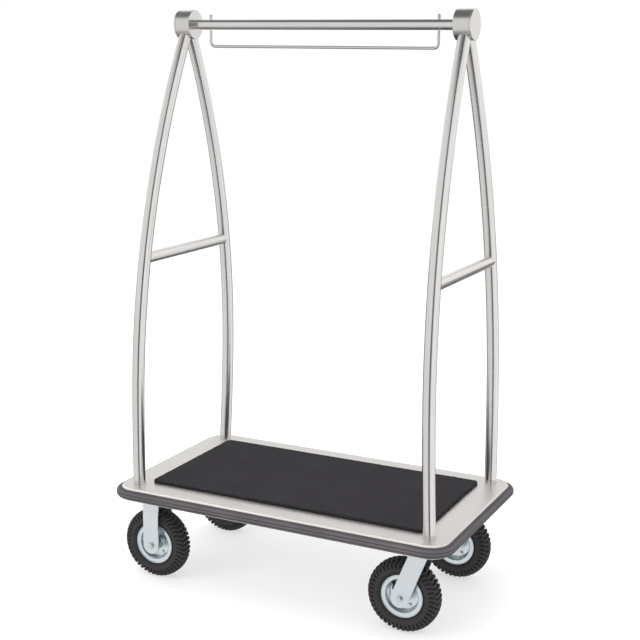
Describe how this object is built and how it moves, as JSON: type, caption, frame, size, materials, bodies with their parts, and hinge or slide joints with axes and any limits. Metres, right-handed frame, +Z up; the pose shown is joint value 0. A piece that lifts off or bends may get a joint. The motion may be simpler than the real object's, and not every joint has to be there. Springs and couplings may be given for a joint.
{
  "type": "hotel luggage cart",
  "caption": "Luggage cart with a carpeted deck, rubber bumper, bowed end frames under round hubs, top bar with hanger rail, and rigid and swivel casters.",
  "frame": {"origin": "on the floor under the middle of the deck", "axes": "+X towards the swivel casters, along the deck's length; +Z up; -Y the front long side"},
  "size_m": [1.0649, 0.628, 1.6685],
  "materials": {
    "tyre": "moulded black tyre rubber with block tread",
    "brushed_tube": "satin stainless tube, brushed along its length",
    "brushed_hub": "satin stainless, turned",
    "brushed_sheet": "satin stainless sheet, brushed lengthways",
    "polished_rod": "drawn stainless rod",
    "bumper_rubber": "extruded grey-black rubber",
    "extruded_aluminium": "mill finish",
    "plywood": "raw board",
    "carpet": "short charcoal needle-felt carpet",
    "painted_subframe": "grey powder coat",
    "zinc_plate": "bright zinc-plated pressed steel",
    "bearing_steel": "ground bearing steel",
    "zinc_fasteners": "zinc-plated"
  },
  "bodies": {
    "root": {"bumper": "bumper_rubber", "bumper_rivets": "extruded_aluminium", "bumper_strip": "extruded_aluminium", "carpet_board": "plywood", "carpet_cover": "carpet", "caster_pads": "painted_subframe", "caster_plate_fasteners": "zinc_fasteners", "deck_pan": "brushed_sheet", "end_rail_left": "brushed_tube", "end_rail_right": "brushed_tube", "hanger_rail": "polished_rod", "hanger_rail_nuts": "polished_rod", "hub_caps": "brushed_hub", "hub_shell_left": "brushed_hub", "hub_shell_right": "brushed_hub", "hub_tie_bolts": "zinc_fasteners", "rigid_axle_fasteners": "zinc_fasteners", "rigid_axle_sleeves": "bearing_steel", "rigid_forks": "zinc_plate", "subframe_cross_rails": "painted_subframe", "subframe_side_rails": "painted_subframe", "swivel_kingpins": "zinc_fasteners", "swivel_top_plates": "zinc_plate", "top_bar": "brushed_tube", "top_bar_plugs": "zinc_fasteners", "upright_bolts": "zinc_fasteners", "upright_collars": "brushed_hub", "upright_left_front": "brushed_tube", "upright_left_rear": "brushed_tube", "upright_plugs": "zinc_fasteners", "upright_right_front": "brushed_tube", "upright_right_rear": "brushed_tube"},
    "swivel_front": {"swivel_axle_fasteners_front": "zinc_fasteners", "swivel_axle_sleeve_front": "bearing_steel", "swivel_balls_front": "bearing_steel", "swivel_fork_front": "zinc_plate"},
    "swivel_rear": {"swivel_axle_fasteners_rear": "zinc_fasteners", "swivel_axle_sleeve_rear": "bearing_steel", "swivel_balls_rear": "bearing_steel", "swivel_fork_rear": "zinc_plate"},
    "wheel_left_front": {"rim_fasteners_left_front": "zinc_fasteners", "rim_inner_left_front": "zinc_plate", "rim_outer_left_front": "zinc_plate", "tyre_left_front": "tyre", "wheel_bearings_left_front": "bearing_steel"},
    "wheel_left_rear": {"rim_fasteners_left_rear": "zinc_fasteners", "rim_inner_left_rear": "zinc_plate", "rim_outer_left_rear": "zinc_plate", "tyre_left_rear": "tyre", "wheel_bearings_left_rear": "bearing_steel"},
    "wheel_right_front": {"rim_fasteners_right_front": "zinc_fasteners", "rim_inner_right_front": "zinc_plate", "rim_outer_right_front": "zinc_plate", "tyre_right_front": "tyre", "wheel_bearings_right_front": "bearing_steel"},
    "wheel_right_rear": {"rim_fasteners_right_rear": "zinc_fasteners", "rim_inner_right_rear": "zinc_plate", "rim_outer_right_rear": "zinc_plate", "tyre_right_rear": "tyre", "wheel_bearings_right_rear": "bearing_steel"}
  },
  "joints": [
    {"name": "swivel_front", "type": "hinge", "parent": "root", "child": "swivel_front", "pos_m": [0.428, -0.2045, 0.2435], "axis": [0, 0, 1], "continuous": true},
    {"name": "swivel_rear", "type": "hinge", "parent": "root", "child": "swivel_rear", "pos_m": [0.428, 0.2045, 0.2435], "axis": [0, 0, 1], "continuous": true},
    {"name": "wheel_left_front", "type": "hinge", "parent": "root", "child": "wheel_left_front", "pos_m": [-0.428, -0.2045, 0.1055], "axis": [0, 1, 0], "continuous": true},
    {"name": "wheel_left_rear", "type": "hinge", "parent": "root", "child": "wheel_left_rear", "pos_m": [-0.428, 0.2045, 0.1055], "axis": [0, 1, 0], "continuous": true},
    {"name": "wheel_right_front", "type": "hinge", "parent": "swivel_front", "child": "wheel_right_front", "pos_m": [0.376, -0.2045, 0.1055], "axis": [0, 1, 0], "continuous": true},
    {"name": "wheel_right_rear", "type": "hinge", "parent": "swivel_rear", "child": "wheel_right_rear", "pos_m": [0.376, 0.2045, 0.1055], "axis": [0, 1, 0], "continuous": true}
  ]
}
